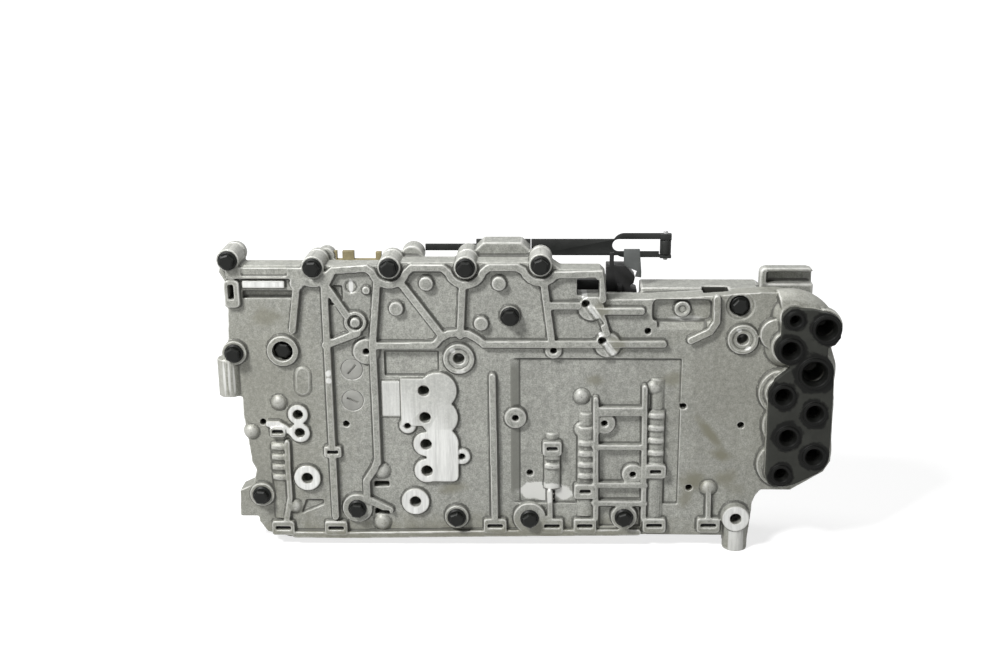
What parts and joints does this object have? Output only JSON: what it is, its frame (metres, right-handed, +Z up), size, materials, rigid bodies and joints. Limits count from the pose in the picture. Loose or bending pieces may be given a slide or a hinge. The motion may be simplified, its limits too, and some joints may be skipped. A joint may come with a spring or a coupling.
{
  "type": "transmission valve body",
  "caption": "Flat cast-aluminium hydraulic valve body with spool bores, ribbed front face, port seal, rear solenoids and a roller detent spring.",
  "frame": {"origin": "centre of the overall box in X and Y, at the floor the part stands on", "axes": "+X along the length towards the port seal, +Y away from the ribbed front face, +Z up to the top rim"},
  "size_m": [0.37, 0.075, 0.1916],
  "materials": {
    "cast_front": "as cast, grainy, with bright machined faces",
    "cast_rear": "as cast",
    "plate_steel": "cold rolled sheet",
    "black_steel": "black phosphate",
    "seal_rubber": "moulded, satin",
    "valve_alloy": "hard anodised, ground",
    "clip_steel": "dark stamped sheet",
    "spring_steel": "drawn wire",
    "ball_steel": "polished",
    "plug_alloy": "turned, dull",
    "detent_steel": "blackened spring steel",
    "pin_steel": "ground",
    "black_plastic": "moulded",
    "clip_grey": "dark grey coated sheet",
    "tan_plastic": "moulded",
    "can_steel": "zinc plated",
    "strap_steel": "zinc plated sheet"
  },
  "bodies": {
    "valve_body": {"front_casting": "cast_front", "separator_plate": "plate_steel", "rear_casting": "cast_rear", "body_bolts": "black_steel", "port_seal": "seal_rubber", "bore_plugs": "valve_alloy", "end_clips": "clip_steel", "stop_clips": "clip_steel", "spring_1": "spring_steel", "spring_2": "spring_steel", "spring_3": "spring_steel", "spring_4": "spring_steel", "spring_5": "spring_steel", "spring_6": "spring_steel", "spring_7": "spring_steel", "check_balls": "ball_steel", "slotted_plugs": "plug_alloy", "detent_clamp": "detent_steel", "detent_screws": "black_steel", "sensor_block": "black_plastic", "sensor_clip": "clip_grey", "lead_frame": "tan_plastic", "solenoid_cans": "can_steel", "solenoid_caps": "tan_plastic", "solenoid_strap": "strap_steel", "strap_screws": "black_steel"},
    "valve_1": {"spool_1": "valve_alloy"},
    "valve_2": {"spool_2": "valve_alloy"},
    "valve_3": {"spool_3": "valve_alloy"},
    "valve_4": {"spool_4": "valve_alloy"},
    "valve_5": {"spool_5": "valve_alloy"},
    "valve_6": {"spool_6": "valve_alloy"},
    "valve_7": {"spool_7": "valve_alloy"},
    "manual": {"manual_valve": "valve_alloy"},
    "detent": {"detent_spring": "detent_steel", "detent_pin": "pin_steel"},
    "roller": {"detent_roller": "detent_steel"}
  },
  "joints": [
    {"name": "valve_1_slide", "type": "slide", "parent": "valve_body", "child": "valve_1", "axis": [0, 0, -1], "range_m": [0, 0.006], "stiffness_N_per_m": 400, "springref_m": -0.01, "deforming": ["spring_1"]},
    {"name": "valve_2_slide", "type": "slide", "parent": "valve_body", "child": "valve_2", "axis": [0, 0, -1], "range_m": [0, 0.006], "stiffness_N_per_m": 400, "springref_m": -0.01, "deforming": ["spring_2"]},
    {"name": "valve_3_slide", "type": "slide", "parent": "valve_body", "child": "valve_3", "axis": [0, 0, -1], "range_m": [0, 0.006], "stiffness_N_per_m": 400, "springref_m": -0.01, "deforming": ["spring_3"]},
    {"name": "valve_4_slide", "type": "slide", "parent": "valve_body", "child": "valve_4", "axis": [0, 0, -1], "range_m": [0, 0.006], "stiffness_N_per_m": 400, "springref_m": -0.01, "deforming": ["spring_4"]},
    {"name": "valve_5_slide", "type": "slide", "parent": "valve_body", "child": "valve_5", "axis": [0, 0, -1], "range_m": [0, 0.006], "stiffness_N_per_m": 400, "springref_m": -0.01, "deforming": ["spring_5"]},
    {"name": "valve_6_slide", "type": "slide", "parent": "valve_body", "child": "valve_6", "axis": [0, 0, -1], "range_m": [0, 0.006], "stiffness_N_per_m": 400, "springref_m": -0.01, "deforming": ["spring_6"]},
    {"name": "valve_7_slide", "type": "slide", "parent": "valve_body", "child": "valve_7", "axis": [0, 0, -1], "range_m": [0, 0.006], "stiffness_N_per_m": 400, "springref_m": -0.01, "deforming": ["spring_7"]},
    {"name": "manual_valve_slide", "type": "slide", "parent": "valve_body", "child": "manual", "axis": [1, 0, 0], "range_m": [0, 0.018]},
    {"name": "detent_flex", "type": "hinge", "parent": "valve_body", "child": "detent", "pos_m": [0.0034, 0.0113, 0.1816], "axis": [0, 0, 1], "range_deg": [-3, 3], "stiffness_Nm_per_rad": 20},
    {"name": "roller_spin", "type": "hinge", "parent": "detent", "child": "roller", "pos_m": [0.0844, 0.0107, 0.1816], "axis": [0, 0, 1], "continuous": true}
  ]
}
